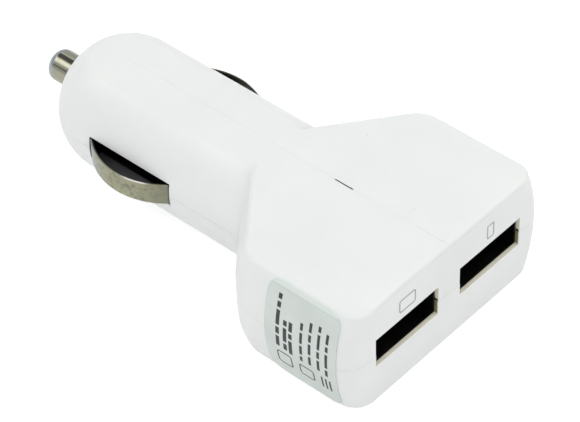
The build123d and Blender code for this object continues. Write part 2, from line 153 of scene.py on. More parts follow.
# Print starts this far outside the sticker, and a frame's corner takes this share of its shorter side
PRINT_START = 0.5 * MM
CORNER_SHARE = 0.2

# The floor's width in metres, its distance from the part, and the share of its glow that lights the part
FLOOR_SIZE = 4
FLOOR_GAP = 0.02 * MM
FLOOR_BOUNCE = 0.5

# Heights between which the sky grows bright overhead, and places along Y where it grows bright in front
OVERHEAD_FADE = (0.5, 0.72)
FRONT_FADE = (0.25, -0.35)

# Brightness of the sky where the camera sees it
BACKDROP = 0.95

# Shares of a panel's size between which it fades in
PANEL_FADE = (1.2, 0.8)

# Panels in the sky for the pin to mirror: direction, half the angle that it fills, share of the sky's light
PANELS = (
    ((0.18, 0.49, 0.85), math.radians(17), 0.1),
    ((-0.42, 0.49, 0.76), math.radians(13), 1.5),
    ((-0.78, 0.49, 0.37), math.radians(7), 0.2),
)

# Plastics inside: colour, clouded colour, size of the grain, roughness and, where it isn't usual, bump
PLASTICS = {
    "lead_cover": ((0.02, 0.02, 0.022), (0.03, 0.03, 0.032), 0.1 * MM, (0.4, 0.55)),
    "socket_black": ((0.012, 0.012, 0.013), (0.02, 0.02, 0.021), 0.1 * MM, (0.4, 0.55)),
    "chip_black": ((0.015, 0.015, 0.016), (0.024, 0.024, 0.025), 0.06 * MM, (0.5, 0.65)),
    "can_sleeve": ((0.02, 0.024, 0.035), (0.03, 0.035, 0.05), 0.15 * MM, (0.3, 0.42)),
    "ferrite": ((0.045, 0.043, 0.042), (0.07, 0.068, 0.066), 0.08 * MM, (0.55, 0.75), 0.5),
    "ceramic_tan": ((0.42, 0.27, 0.15), (0.5, 0.34, 0.2), 0.05 * MM, (0.35, 0.5)),
}

# Metals inside: colour, tarnish, stretch of the drawn lines, roughness
METALS = {
    "spring_steel": ((0.5, 0.5, 0.5), (0.34, 0.32, 0.29), (1, 1, 1), (0.25, 0.4)),
    # socket_steel is darkened almost to black: painted shade inside the ports
    "socket_steel": ((0.1, 0.099, 0.095), (0.07, 0.064, 0.055), (1, 0.08, 1), (0.22, 0.38)),
    "contact_gold": ((0.83, 0.58, 0.22), (0.6, 0.38, 0.14), (1, 0.08, 1), (0.16, 0.3)),
    "tinned_lead": ((0.62, 0.62, 0.6), (0.42, 0.41, 0.39), (1, 1, 0.2), (0.24, 0.4)),
    "terminal_brass": ((0.66, 0.5, 0.24), (0.45, 0.31, 0.13), (1, 1, 0.1), (0.2, 0.36)),
}

# What every colour setting has
COLOUR = {"subtype": "COLOR", "size": 3, "min": 0, "max": 1}


# Sizes and colours that a user would change


class HousingSettings(bpy.types.PropertyGroup):
    """The white moulded housing."""

    colour: FloatVectorProperty(
        name="Plastic", description="Colour of the moulded housing", default=(0.785, 0.8, 0.794), **COLOUR)
    shade: FloatVectorProperty(
        name="Plastic, clouded", description="Slightly greyer tone in soft clouds",
        default=(0.76, 0.78, 0.77), **COLOUR)
    speck: FloatVectorProperty(
        name="Specks", description="Sparse fine specks in the plastic", default=(0.62, 0.62, 0.6), **COLOUR)
    smooth_angle: FloatProperty(
        name="Smooth below", description="Edges flatter than this are shaded smooth", subtype="ANGLE",
        default=math.radians(54))
    grain_size: FloatProperty(
        name="Grain", description="Width of one grain of the moulded skin", unit="LENGTH", default=0.12 * MM)
    # Painted shade: the slot walls and the hollow behind them are the same white plastic, painted dark where
    # they lie in shade
    inside: FloatVectorProperty(
        name="Slot walls", description="Tone of the walls of the contact slots",
        default=(0.11, 0.11, 0.118), **COLOUR)
    hollow: FloatVectorProperty(
        name="Hollow", description="Tone of the hollow behind the slots",
        default=(0.012, 0.012, 0.014), **COLOUR)
    # Painted highlight: a paler, warmer tone on the cut edges round the ports, standing in for the light
    # they catch
    lips: FloatVectorProperty(
        name="Port lips", description="Warmer tone of the cut edges round the ports",
        default=(0.9, 0.86, 0.72), **COLOUR)
    # Painted shade on the ports' side walls below the seam
    lip_walls: FloatVectorProperty(
        name="Port walls", description="Shaded tone of the ports' side walls below the seam",
        default=(0.26, 0.25, 0.12), **COLOUR)
    # Painted shade: a dark band in the ports' side walls above the seam, where the halves' small jog lies in
    # shade
    notch: FloatVectorProperty(
        name="Port notch", description="Dark notch in the ports' side walls above the seam",
        default=(0.03, 0.022, 0.012), **COLOUR)
    notch_height: FloatProperty(
        name="Notch height", description="Height of the notch above the seam", unit="LENGTH",
        default=0.5 * MM)
    # Distances from the axis where the painted shade of the slot walls and of the hollow begins
    slot_reach: FloatProperty(
        name="Slot walls within", description="Distance from the axis where a slot's wall begins",
        unit="LENGTH", default=10.2 * MM)
    hollow_reach: FloatProperty(
        name="Hollow within", description="Distance from the axis where the hollow begins",
        unit="LENGTH", default=8.7 * MM)
    scatter: FloatProperty(
        name="Scatter", description="How far light spreads inside the plastic", unit="LENGTH",
        default=0.35 * MM)
    seam: FloatProperty(
        name="Seam", description="Share of its moulded width that the joint line between the halves shows",
        subtype="FACTOR", min=0, max=1, default=0.4)
    slit: FloatProperty(
        name="Slit", description="Share of its moulded width that the light slit shows",
        subtype="FACTOR", min=0, max=1, default=0.5)
    root_blend: FloatProperty(
        name="Root", description="Reach of the soft blend between the barrel and the shoulders",
        unit="LENGTH", default=1.5 * MM)


class MetalSettings(bpy.types.PropertyGroup):
    """The plated contacts and the spring."""

    nickel: FloatVectorProperty(
        name="Nickel", description="Plating of the side contacts", default=(0.315, 0.318, 0.232), **COLOUR)
    tarnish: FloatVectorProperty(
        name="Tarnish", description="Warm patches on the plating", default=(0.31, 0.29, 0.175), **COLOUR)
    # Painted reflection: a bluish tint at the tip's end of a leaf and round the pin's end
    cool: FloatVectorProperty(
        name="Cool end", description="Bluer plating at the tip's end of a leaf and round the pin's end",
        default=(0.39, 0.43, 0.45), **COLOUR)
    # Painted highlight on the middle run of a leaf's upper edge, where the rounded edge mirrors the light
    # overhead
    rubbed: FloatVectorProperty(
        name="Rubbed edge", description="Bright metal where a leaf's edge is rubbed",
        default=(0.8, 0.79, 0.74), **COLOUR)
    pin: FloatVectorProperty(
        name="Pin", description="Polished plating of the tip contact", default=(0.36, 0.36, 0.285), **COLOUR)
    # Painted shade: near-black on a leaf's inner face and the inner part of its sheared edges, which face
    # the dark inside of the slot
    back: FloatVectorProperty(
        name="Leaf back", description="Dull inner face and sheared edge of a leaf",
        default=(0.035, 0.034, 0.03), **COLOUR)
    leaf_radius: FloatProperty(
        name="Leaf bow", description="Radius of a leaf's bowed outer face", unit="LENGTH", default=11.3 * MM)
    edge_round: FloatProperty(
        name="Leaf edge", description="Rounding of the leaf's sheared edges", unit="LENGTH",
        default=0.09 * MM)
    spring_wire: FloatProperty(
        name="Spring wire", description="Diameter of the spring's wire", unit="LENGTH", default=0.6 * MM)
    spring_turns: FloatProperty(name="Spring turns", description="Turns of the tip's spring", default=5.5)


class PrintSettings(bpy.types.PropertyGroup):
    """The sticker and the printed marks."""

    film: FloatVectorProperty(
        name="Sticker", description="Silver-grey film of the sticker", default=(0.635, 0.69, 0.66), **COLOUR)
    # Painted shade and highlight: a darker line, then a paler band above it, along the sticker's upper edge
    # where it folds over the rounded edge
    fold: FloatProperty(
        name="Fold", description="Width of the band that lifts along the sticker's upper edge",
        unit="LENGTH", default=0.75 * MM)
    ink: FloatVectorProperty(
        name="Ink", description="Bars printed on the sticker", default=(0.03, 0.03, 0.032), **COLOUR)
    mark: FloatVectorProperty(
        name="Port marks", description="Grey signs over the ports", default=(0.3, 0.32, 0.33), **COLOUR)
    ink_height: FloatProperty(
        name="Ink height", description="How far print stands off its surface", unit="LENGTH",
        default=0.012 * MM)
    word_gap: FloatProperty(
        name="Word gap", description="Gap between two bars of a printed line", unit="LENGTH",
        default=0.42 * MM)
    stroke: FloatProperty(
        name="Stroke", description="Width of a frame's or port mark's line", unit="LENGTH", default=0.2 * MM)
    mark_height: FloatProperty(
        name="Mark height", description="Height of the port marks' middle", unit="LENGTH", default=5.2 * MM)


class StageSettings(bpy.types.PropertyGroup):
    """Floor, light and camera."""

    floor: FloatVectorProperty(
        name="Floor", description="Colour of the floor", default=(0.7, 0.7, 0.7), **COLOUR)
    floor_glow: FloatProperty(
        name="Floor glow", description="Extra light of the floor as it is seen", default=0.55)
    overhead: FloatProperty(name="Overhead", description="Brightness of the sky overhead", default=1.52)
    front: FloatProperty(name="Front", description="Brightness on the camera's side", default=0.72)
    back: FloatProperty(name="Back", description="Brightness of the far side", default=0.72)
    camera_place: FloatVectorProperty(
        name="Camera", description="Where the camera stands", subtype="XYZ", unit="LENGTH", size=3,
        default=(-0.214588, -0.199726, 0.276152))
    azimuth: FloatProperty(
        name="Azimuth", description="Camera's direction round the part", subtype="ANGLE",
        default=math.radians(-47.273))
    elevation: FloatProperty(
        name="Elevation", description="Camera's height over the horizon", subtype="ANGLE",
        default=math.radians(43.630))
    roll: FloatProperty(
        name="Roll", description="Turn about the line of sight", subtype="ANGLE",
        default=math.radians(-1.843))
    lens: FloatProperty(name="Lens", description="Focal length on a 36 mm sensor", default=179.98)


SETTINGS = {
    "charger_housing": HousingSettings,
    "charger_metal": MetalSettings,
    "charger_print": PrintSettings,
    "charger_stage": StageSettings,
}


# Modelling helpers


def only(piece):
    """Leave one object selected and active."""
    bpy.ops.object.select_all(action="DESELECT")
    piece.select_set(True)
    bpy.context.view_layer.objects.active = piece


def in_edit(*steps):
    """Run steps on the active object in edit mode, all of it selected."""
    bpy.ops.object.mode_set(mode="EDIT")
    bpy.ops.mesh.select_all(action="SELECT")
    for step in steps:
        step()
    bpy.ops.object.mode_set(mode="OBJECT")


def joined_copy(node, name):
    """A copy of a solid's mesh with its loose triangles joined and its flat runs made one face."""
    piece = bpy.data.objects.new(name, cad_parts[node].data.copy())
    piece.data.materials.clear()
    bpy.context.scene.collection.objects.link(piece)
    only(piece)
    if piece.data.has_custom_normals:
        bpy.ops.mesh.customdata_custom_splitnormals_clear()
    in_edit(
        lambda: bpy.ops.mesh.remove_doubles(threshold=JOIN_DISTANCE),
        lambda: bpy.ops.mesh.dissolve_limited(angle_limit=FLAT_TURN),
    )
    return piece


def narrow(piece, axis, half, share, low, high):
    """Draw in what stands a given half width off a middle plane, between two corners."""
    only(piece)
    bpy.ops.object.mode_set(mode="EDIT")
    bpy.ops.mesh.select_mode(type="VERT")
    bpy.ops.mesh.select_all(action="DESELECT")
    mesh = bmesh.from_edit_mesh(piece.data)
    for vertex in mesh.verts:
        within = all(low[i] < vertex.co[i] < high[i] for i in range(3))
        vertex.select_set(within and abs(abs(vertex.co[axis]) - half) < JOIN_DISTANCE)
    mesh.select_flush(True)
    bmesh.update_edit_mesh(piece.data)
    scale = [1.0, 1.0, 1.0]
    scale[axis] = share
    bpy.ops.transform.resize(value=scale, center_override=(0, 0, 0))
    bpy.ops.object.mode_set(mode="OBJECT")


def root_corner(piece):
    """The edges of the inner corner where the barrel leaves the shoulders, one list for each side."""
    mesh = bmesh.new()
    mesh.from_mesh(piece.data)
    sides = ([], [])
    for edge in mesh.edges:
        middle = (edge.verts[0].co + edge.verts[1].co) / 2
        outside = math.hypot(middle.x, middle.z) > ROOT_RADIUS and ROOT_START < middle.y < ROOT_END
        if outside and edge.is_manifold and edge.calc_face_angle_signed() < ROOT_FOLD:
            shoulder = max((face.normal for face in edge.link_faces), key=lambda normal: abs(normal.y))
            sides[middle.x > 0].append((middle, shoulder.copy()))
    mesh.free()
    return sides


def blend_root(piece, reach):
    """Cut both faces beside the inner corner at the barrel's root, so that its shading blends there."""
    for places in root_corner(piece):
        places.sort(key=lambda pair: abs(pair[0].z))
        low, high = places[0][0], places[-1][0]
        middle, shoulder = places[len(places) // 2]
        outward = (high - low).cross(shoulder).normalized()
        outward *= -1 if outward.y > 0 else 1
        only(piece)
        in_edit(
            lambda: bpy.ops.mesh.bisect(plane_co=middle + reach * outward, plane_no=outward),
            lambda: bpy.ops.mesh.select_all(action="SELECT"),
            lambda: bpy.ops.mesh.bisect(plane_co=(0, reach, 0), plane_no=(0, 1, 0)),
        )


def apply_modifier(piece, kind, **values):
    """Add one modifier with its values and apply it."""
    modifier = piece.modifiers.new(kind.title(), kind)
    for key, value in values.items():
        setattr(modifier, key, value)
    only(piece)
    bpy.ops.object.modifier_apply(modifier=modifier.name)


def shade(piece, below):
    """Smooth shading at edges below an angle, with the large flat faces kept flat."""
    only(piece)
    bpy.ops.object.shade_smooth_by_angle(angle=below)
    apply_modifier(piece, "WEIGHTED_NORMAL", mode="FACE_AREA", weight=50, keep_sharp=True)


def settle(piece, body, slot, material, *nodes):
    """Give a finished piece its material and body, and hide the nodes that it stands for; its slot is not
    used.
    """
    piece.data.materials.clear()
    piece.data.materials.append(material)
    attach(piece, body)
    if nodes:
        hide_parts(*nodes)


def dress(material, *nodes):
    """Give solids that stay as they are their finish."""
    for node in nodes:
        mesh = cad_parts[node].data
        mesh.materials.clear()
        mesh.materials.append(material)


def flat_sheet(name, middle, across, up, size, divisions):
    """A divided flat sheet at a place, spanned by two directions."""
    bpy.ops.object.select_all(action="DESELECT")
    bpy.ops.mesh.primitive_grid_add(x_subdivisions=divisions[0], y_subdivisions=divisions[1], size=1)
    piece = bpy.context.active_object
    piece.name = name
    normal = Vector(across).cross(Vector(up))
    turn = Matrix((across, up, normal)).transposed().to_4x4()
    piece.matrix_world = Matrix.Translation(middle) @ turn @ Matrix.Diagonal((*size, 1, 1))
    bpy.ops.object.transform_apply(location=True, rotation=True, scale=True)
    return piece


def framed_sheet(name, middle, size, stroke, facing):
    """A flat frame with rounded corners."""
    piece = flat_sheet(name, middle, *facing, size, (1, 1))
    in_edit(
        lambda: bpy.ops.mesh.bevel(offset=CORNER_SHARE * min(size), segments=4, affect="VERTICES"),
        lambda: bpy.ops.mesh.select_all(action="SELECT"),
        lambda: bpy.ops.mesh.inset(thickness=stroke, depth=0),
        lambda: bpy.ops.mesh.delete(type="FACE"),
        lambda: bpy.ops.mesh.select_all(action="SELECT"),
        lambda: bpy.ops.mesh.subdivide(number_cuts=4),
    )
    return piece


def beside_sticker(y, z):
    """A place just outside the sticker."""
    return (cad_low.x - PRINT_START, y, z)


def printed_bar(y, z, size):
    """One printed bar or stroke, before it is laid on the sticker."""
    return flat_sheet("bar", beside_sticker(y, z), *FACING_LEFT, size, (1, 4))


def word_bars(line, gap):
    """The bars of one printed line, as long as words."""
    y, place, end, width = (MM * size for size in PRINTED_LINES[line])
    bars = []
    word = line
    while place < end - gap:
        length = min(WORD_LENGTHS[word % len(WORD_LENGTHS)] * MM, end - place)
        bars.append(printed_bar(y, place + length / 2, (width, length)))
        place += length + gap
        word += 1
    return bars


def join(pieces, name):
    """Join several objects into one."""
    bpy.ops.object.select_all(action="DESELECT")
    for piece in pieces:
        piece.select_set(True)
    bpy.context.view_layer.objects.active = pieces[0]
    bpy.ops.object.join()
    pieces[0].name = name
    return pieces[0]


# Node helpers


def feed(tree, socket, value):
    """Link a socket to another one, or give it a value."""
    if isinstance(value, bpy.types.NodeSocket):
        tree.links.new(value, socket)
    else:
        socket.default_value = value


def add(tree, kind, *values, **named):
    """Add a node, with values for its first sockets and named ones for its properties or sockets."""
    node = tree.nodes.new(kind)
    for key, value in named.items():
        if hasattr(node, key):
            setattr(node, key, value)
        else:
            feed(tree, node.inputs[key.replace("_", " ")], value)
    for socket, value in zip(node.inputs, values):
        feed(tree, socket, value)
    return node


def calc(tree, operation, *values):
    """The outcome of a sum on numbers."""
    return add(tree, "ShaderNodeMath", *values, operation=operation).outputs[0]


def vector_calc(tree, operation, *values):
    """The outcome of a sum on vectors."""
    node = add(tree, "ShaderNodeVectorMath", *values, operation=operation)
    return node.outputs["Value" if operation in ("LENGTH", "DISTANCE", "DOT_PRODUCT") else "Vector"]


def place_on(tree):
    """Where a point lies on the part."""
    return add(tree, "ShaderNodeTexCoord").outputs["Object"]


def along(tree, vector, axis):
    """One axis of a vector."""
    return add(tree, "ShaderNodeSeparateXYZ", vector).outputs[axis]


def between(tree, value, low, high):
    """A value spread from 0..1 to a range of its own."""
    return add(tree, "ShaderNodeMapRange", Value=value, To_Min=low, To_Max=high).outputs["Result"]


def soft_step(tree, value, start, end, low=0.0, high=1.0):
    """A value that goes softly from low to high as another goes from start to end."""
    return add(tree, "ShaderNodeMapRange", Value=value, interpolation_type="SMOOTHSTEP",
               From_Min=start, From_Max=end, To_Min=low, To_Max=high).outputs["Result"]


def ramp(tree, axis, start, end):
    """A mask that goes from 0 to 1 between two places along an axis."""
    return soft_step(tree, along(tree, place_on(tree), axis), start, end)


def mixed(tree, mask, first, second):
    """A colour that goes from the first to the second as a mask goes from 0 to 1."""
    node = add(tree, "ShaderNodeMix", mask, data_type="RGBA")
    for socket, colour in ((node.inputs[6], first), (node.inputs[7], second)):
        feed(tree, socket, colour if isinstance(colour, bpy.types.NodeSocket) else (*colour, 1))
    return node.outputs[2]


def toned(colour, share, lift=0.0):
    """A colour made darker or paler."""
    return tuple(min(1.0, share * part + lift) for part in colour)


# Shared effects


def effect(name, inputs, outputs):
    """An empty node group with its sockets: (tree, what it is given, what it gives)."""
    tree = bpy.data.node_groups.new(name, "ShaderNodeTree")
    for label, value in inputs.items():
        kind = "NodeSocketVector" if isinstance(value, tuple) else "NodeSocketFloat"
        tree.interface.new_socket(label, in_out="INPUT", socket_type=kind).default_value = value
    for label in outputs:
        tree.interface.new_socket(label, in_out="OUTPUT", socket_type="NodeSocketFloat")
    return tree, tree.nodes.new("NodeGroupInput").outputs, tree.nodes.new("NodeGroupOutput").inputs


def use(tree, build, **values):
    """Place an effect in a material with its own values. Its first use builds its node group."""
    node = tree.nodes.new("ShaderNodeGroup")
    node.node_tree = bpy.data.node_groups.get(build.__name__) or build(build.__name__)
    for key, value in values.items():
        node.inputs[key.replace("_", " ")].default_value = value
    return node.outputs


def moulded_grain(name):
    """Fine grain of a moulded or painted skin, and soft clouds of tone."""
    tree, given, made = effect(name, {"Grain Scale": 8000, "Cloud Scale": 90}, ["Height", "Cloud"])
    place = place_on(tree)
    grain = add(tree, "ShaderNodeTexNoise", Vector=place, Scale=given["Grain Scale"], Detail=2.0)
    cloud = add(tree, "ShaderNodeTexNoise", Vector=place, Scale=given["Cloud Scale"], Detail=3.0)
    spread = add(tree, "ShaderNodeMapRange", Value=cloud.outputs["Fac"], From_Min=0.35, From_Max=0.65)
    tree.links.new(grain.outputs["Fac"], made["Height"])
    tree.links.new(spread.outputs["Result"], made["Cloud"])
    return tree


def fine_specks(name):
    """Sparse small specks of dust or colour."""
    tree, given, made = effect(name, {"Speck Scale": 600, "Speck Size": 0.08, "Share": 0.2}, ["Mask"])
    cells = add(tree, "ShaderNodeTexVoronoi", Vector=place_on(tree), Scale=given["Speck Scale"]).outputs
    near = calc(tree, "LESS_THAN", cells["Distance"], given["Speck Size"])
    red = add(tree, "ShaderNodeSeparateColor", cells["Color"]).outputs["Red"]
    few = calc(tree, "LESS_THAN", red, given["Share"])
    tree.links.new(calc(tree, "MULTIPLY", near, few), made["Mask"])
    return tree


def drawn_lines(name):
    """Fine lines left by rolling, drawing or turning, stretched along the axes given."""
    tree, given, made = effect(name, {"Stretch": (1, 1, 1), "Line Scale": 1000}, ["Lines"])
    drawn = vector_calc(tree, "MULTIPLY", place_on(tree), given["Stretch"])
    lines = add(tree, "ShaderNodeTexNoise", Vector=drawn, Scale=given["Line Scale"], Detail=4.0)
    tree.links.new(lines.outputs["Fac"], made["Lines"])
    return tree


def worn_patches(name):
    """Patches with ragged edges that cover a share of the surface."""
    tree, given, made = effect(name, {"Patch Scale": 300, "Threshold": 0.5, "Softness": 0.06}, ["Mask"])
    noise = add(
        tree, "ShaderNodeTexNoise", Vector=place_on(tree), Scale=given["Patch Scale"], Detail=6.0,
        Roughness=0.62)
    low = calc(tree, "SUBTRACT", given["Threshold"], given["Softness"])
    high = calc(tree, "ADD", given["Threshold"], given["Softness"])
    tree.links.new(soft_step(tree, noise.outputs["Fac"], low, high), made["Mask"])
    return tree


def slot_shade(name):
    """A mask for painted shade: what lies inside the barrel's wall round the contact slots."""
    sizes = {"Reach": 0.01, "Middle": 0, "Half Length": 0.01, "Half Height": 0.01}
    tree, given, made = effect(name, sizes, ["Mask"])
    place = place_on(tree)
    from_axis = vector_calc(tree, "LENGTH", vector_calc(tree, "MULTIPLY", place, (1, 0, 1)))
    within = calc(tree, "LESS_THAN", from_axis, given["Reach"])
    length = calc(tree, "COMPARE", along(tree, place, "Y"), given["Middle"], given["Half Length"])
    height = calc(tree, "COMPARE", along(tree, place, "Z"), 0, given["Half Height"])
    slot = calc(tree, "MULTIPLY", length, height)
    tree.links.new(calc(tree, "MULTIPLY", slot, within), made["Mask"])
    return tree


def within_box(name):
    """What lies inside a box."""
    tree, given, made = effect(name, {"Middle": (0, 0, 0), "Half": (1, 1, 1)}, ["Mask"])
    away = vector_calc(tree, "SUBTRACT", place_on(tree), given["Middle"])
    spare = vector_calc(tree, "SUBTRACT", given["Half"], vector_calc(tree, "ABSOLUTE", away))
    axes = add(tree, "ShaderNodeSeparateXYZ", spare).outputs
    least = calc(tree, "MINIMUM", calc(tree, "MINIMUM", axes["X"], axes["Y"]), axes["Z"])
    tree.links.new(calc(tree, "GREATER_THAN", least, 0), made["Mask"])
    return tree


def box_mask(tree, low, high):
    """A mask of what lies between two corners."""
    low, high = Vector(low), Vector(high)
    return use(tree, within_box, Middle=(low + high) / 2, Half=(high - low) / 2)["Mask"]


# Materials


def start_material(name):
    """A new material: (material, its node tree)."""
    material = bpy.data.materials.new(name)
    material.use_nodes = True
    return material, material.node_tree


def shader_of(material):
    """The sockets of a material's shader."""
    return material.node_tree.nodes["Principled BSDF"].inputs


def finished(material, tone, wear, rough, relief=None, strength=0.0, depth=0.0, **fixed):
    """Give a material its tone, a roughness that follows its wear, its relief and its fixed values."""
    tree, shader = material.node_tree, shader_of(material)
    tree.links.new(tone, shader["Base Color"])
    tree.links.new(between(tree, wear, *rough), shader["Roughness"])
    if relief:
        bump = add(tree, "ShaderNodeBump", Height=relief, Strength=strength, Distance=depth)
        tree.links.new(bump.outputs["Normal"], shader["Normal"])
    for key, value in fixed.items():
        shader[key.replace("_", " ")].default_value = value
    return material


def tinted(material, mask, colour):
    """Lay another colour over a material's own where a mask says."""
    tree, socket = material.node_tree, shader_of(material)["Base Color"]
    tree.links.new(mixed(tree, mask, socket.links[0].from_socket, colour), socket)


def moulded_plastic(name, colour, clouded, grain_size, rough, bump=0.25, speck=None):
    """A moulded plastic: clouded colour, fine grain, and specks where they are given a colour."""
    material, tree = start_material(name)
    grain = use(tree, moulded_grain, Grain_Scale=1 / grain_size, Cloud_Scale=110)
    tone = mixed(tree, grain["Cloud"], colour, clouded)
    if speck:
        specks = use(tree, fine_specks, Speck_Scale=420, Speck_Size=0.045, Share=0.1)
        tone = mixed(tree, specks["Mask"], tone, speck)
    return finished(material, tone, grain["Cloud"], rough, grain["Height"], bump, 0.004 * MM)


def plated_metal(name, colour, tarnish, stretch, rough, patch=260, cover=0.58):
    """A plated metal: fine lines along its make, and tarnish in patches."""
    material, tree = start_material(name)
    lines = use(tree, drawn_lines, Stretch=stretch, Line_Scale=900)["Lines"]
    worn = use(tree, worn_patches, Patch_Scale=patch, Threshold=cover, Softness=0.1)["Mask"]
    tone = mixed(tree, worn, colour, tarnish)
    return finished(material, tone, lines, rough, lines, 0.12, 0.01 * MM, Metallic=1)


def inner_finish(name):
    """A plain plastic or metal of the parts inside."""
    if name in METALS:
        return plated_metal(name, *METALS[name])
    return moulded_plastic(name, *PLASTICS[name])


def shade_slots(plastic, look):
    """Paint shade on the walls of the contact slots and in the hollow behind them."""
    low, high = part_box("side_contact_left")
    half = (high.y - low.y) / 2
    inner = (
        (look.slot_reach, half, high.z + SLOT_SPARE, look.inside),
        (look.hollow_reach, half + HOLLOW_SPARE, look.hollow_reach, look.hollow),
    )
    # Painted shade on the slot walls, then darker painted shade in the hollow
    for reach, half_length, half_height, colour in inner:
        slot = use(
            plastic.node_tree, slot_shade, Reach=reach, Middle=(low.y + high.y) / 2,
            Half_Length=half_length, Half_Height=half_height)
        tinted(plastic, slot["Mask"], colour)


def shade_ports(plastic, look):
    """Paint a highlight on the lips of the ports, and paint shade on their side walls below the seam and in
    the notch above it.
    """
    tree = plastic.node_tree
    low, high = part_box("usb_shell_left")
    front, back = cad_low.y + LIP_MARGIN, low.y - LIP_MARGIN
    # Painted highlight on the lips
    tinted(plastic, box_mask(tree, (low.x, front, -high.z), (-low.x, back, high.z)), look.lips)
    normal = add(tree, "ShaderNodeNewGeometry").outputs["True Normal"]
    across = calc(tree, "ABSOLUTE", along(tree, normal, "X"))
    sideways = calc(tree, "GREATER_THAN", across, SIDEWAYS)
    front, back = cad_low.y + WALL_START, low.y + WALL_PAST
    # Painted shade on the side walls below the seam and in the notch above it
    for bottom, top, colour in ((-high.z, 0, look.lip_walls), (0, look.notch_height, look.notch)):
        walls = box_mask(tree, (low.x, front, bottom), (-low.x, back, top))
        tinted(plastic, calc(tree, "MULTIPLY", walls, sideways), colour)


def shell_plastic(look):
    """Grained white plastic of the housing, with painted shade inside its slots, ports and light slit, and a
    painted highlight on the ports' lips.
    """
    plastic = moulded_plastic(
        "shell_white", look.colour, look.shade, look.grain_size, (0.36, 0.46), 0.3, look.speck)
    shade_slots(plastic, look)
    shade_ports(plastic, look)
    lamp_low, lamp_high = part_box("indicator_led")
    middle = (lamp_low.y + lamp_high.y) / 2
    width, length = SLIT_SHADE
    # Painted shade inside the light slit, in the hollow's tone
    slit = box_mask(
        plastic.node_tree, (-width, middle - length, lamp_low.z),
        (width, middle + length, cad_high.z - SLIT_RIM))
    tinted(plastic, slit, look.hollow)
    shader = shader_of(plastic)
    shader["Subsurface Weight"].default_value = SCATTER_WEIGHT
    shader["Subsurface Radius"].default_value = SCATTER_COLOURS
    shader["Subsurface Scale"].default_value = look.scatter
    return plastic


def leaf_back(tree, look):
    """A mask for the painted shade on the leaf's inner side: what lies nearer to the middle of its bow than
    the outer face.
    """
    low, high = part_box("side_contact_right")
    folded = vector_calc(tree, "ABSOLUTE", place_on(tree))
    flat = vector_calc(tree, "MULTIPLY", folded, (1, 1, 0))
    centre = (high.x - look.leaf_radius, (low.y + high.y) / 2, 0)
    bow = vector_calc(tree, "DISTANCE", flat, centre)
    return soft_step(tree, bow, *(look.leaf_radius - depth for depth in BACK_SHADE_FADE))


def leaf_plating(look):
    """Nickel of the side contacts: rolled lines, tan tarnish, fine wear, darker towards the head's end, a
    painted bluish reflection at the tip's end, a painted edge highlight and painted shade on the back.
    """
    material, tree = start_material("contact_nickel")
    low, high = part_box("side_contact_left")
    middle, length = (low.y + high.y) / 2, high.y - low.y

    def stretch(start, end):
        """A mask between two places along the leaf, as shares of its length from its middle."""
        return ramp(tree, "Y", middle + start * length, middle + end * length)

    lines = use(tree, drawn_lines, Stretch=(1, 0.1, 1), Line_Scale=1500)["Lines"]
    worn = use(tree, worn_patches, Patch_Scale=260, Threshold=0.52, Softness=0.13)["Mask"]
    spots = use(tree, worn_patches, Patch_Scale=1300, Threshold=0.58, Softness=0.12)["Mask"]
    # Painted highlight along the upper edge
    edge_highlight_mask = calc(
        tree, "MULTIPLY", ramp(tree, "Z", *(high.z - depth for depth in EDGE_HIGHLIGHT_FADE)),
        calc(tree, "MULTIPLY", stretch(-0.3, -0.22), stretch(-0.04, -0.12)))
    # Lighter streaks along the rolled lines, a painted bluish reflection at the tip's end, darker towards
    # the head's end, fine dark spots of wear, the painted edge highlight and painted shade on the back
    layers = (
        (between(tree, lines, -0.7, 1.3), toned(look.nickel, 1.3)),
        (stretch(0.1, 0.46), look.cool),
        (stretch(-0.15, -0.42), toned(look.nickel, 0.78)),
        (spots, toned(look.nickel, 0.62)),
        (edge_highlight_mask, look.rubbed),
        (leaf_back(tree, look), look.back),
    )
    tone = mixed(tree, worn, look.nickel, look.tarnish)
    for mask, colour in layers:
        tone = mixed(tree, mask, tone, colour)
    return finished(material, tone, lines, (0.24, 0.46), lines, 0.2, 0.01 * MM, Metallic=1)


def sticker_film(look):
    """Silver-grey film with a faint brushed grain, and painted shade then a painted highlight along its
    upper edge where it folds over.
    """
    material, tree = start_material("label_silver")
    lines = use(tree, drawn_lines, Stretch=(0.3, 1, 0.05), Line_Scale=2600)["Lines"]
    cloud = use(tree, moulded_grain, Grain_Scale=9000, Cloud_Scale=160)["Cloud"]
    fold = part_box("rating_label")[1].z - look.fold
    tone = mixed(tree, cloud, look.film, toned(look.film, 0.93))
    # Painted shade along the fold, then a painted highlight on the band above it
    tone = mixed(tree, ramp(tree, "Z", fold - 0.14 * MM, fold), tone, toned(look.film, 0.9))
    fold_highlight = ramp(tree, "Z", fold + 0.04 * MM, fold + 0.2 * MM)
    tone = mixed(tree, fold_highlight, tone, toned(look.film, 1.08))
    return finished(material, tone, lines, (0.34, 0.5), lines, 0.1, 0.004 * MM, Metallic=0.15)


def printed_ink(name, colour):
    """Flat printing ink, a little uneven in its cover."""
    material, tree = start_material(name)
    worn = use(tree, worn_patches, Patch_Scale=2600, Threshold=0.66, Softness=0.12)["Mask"]
    return finished(material, mixed(tree, worn, colour, toned(colour, 1.5, 0.03)), worn, (0.5, 0.7))


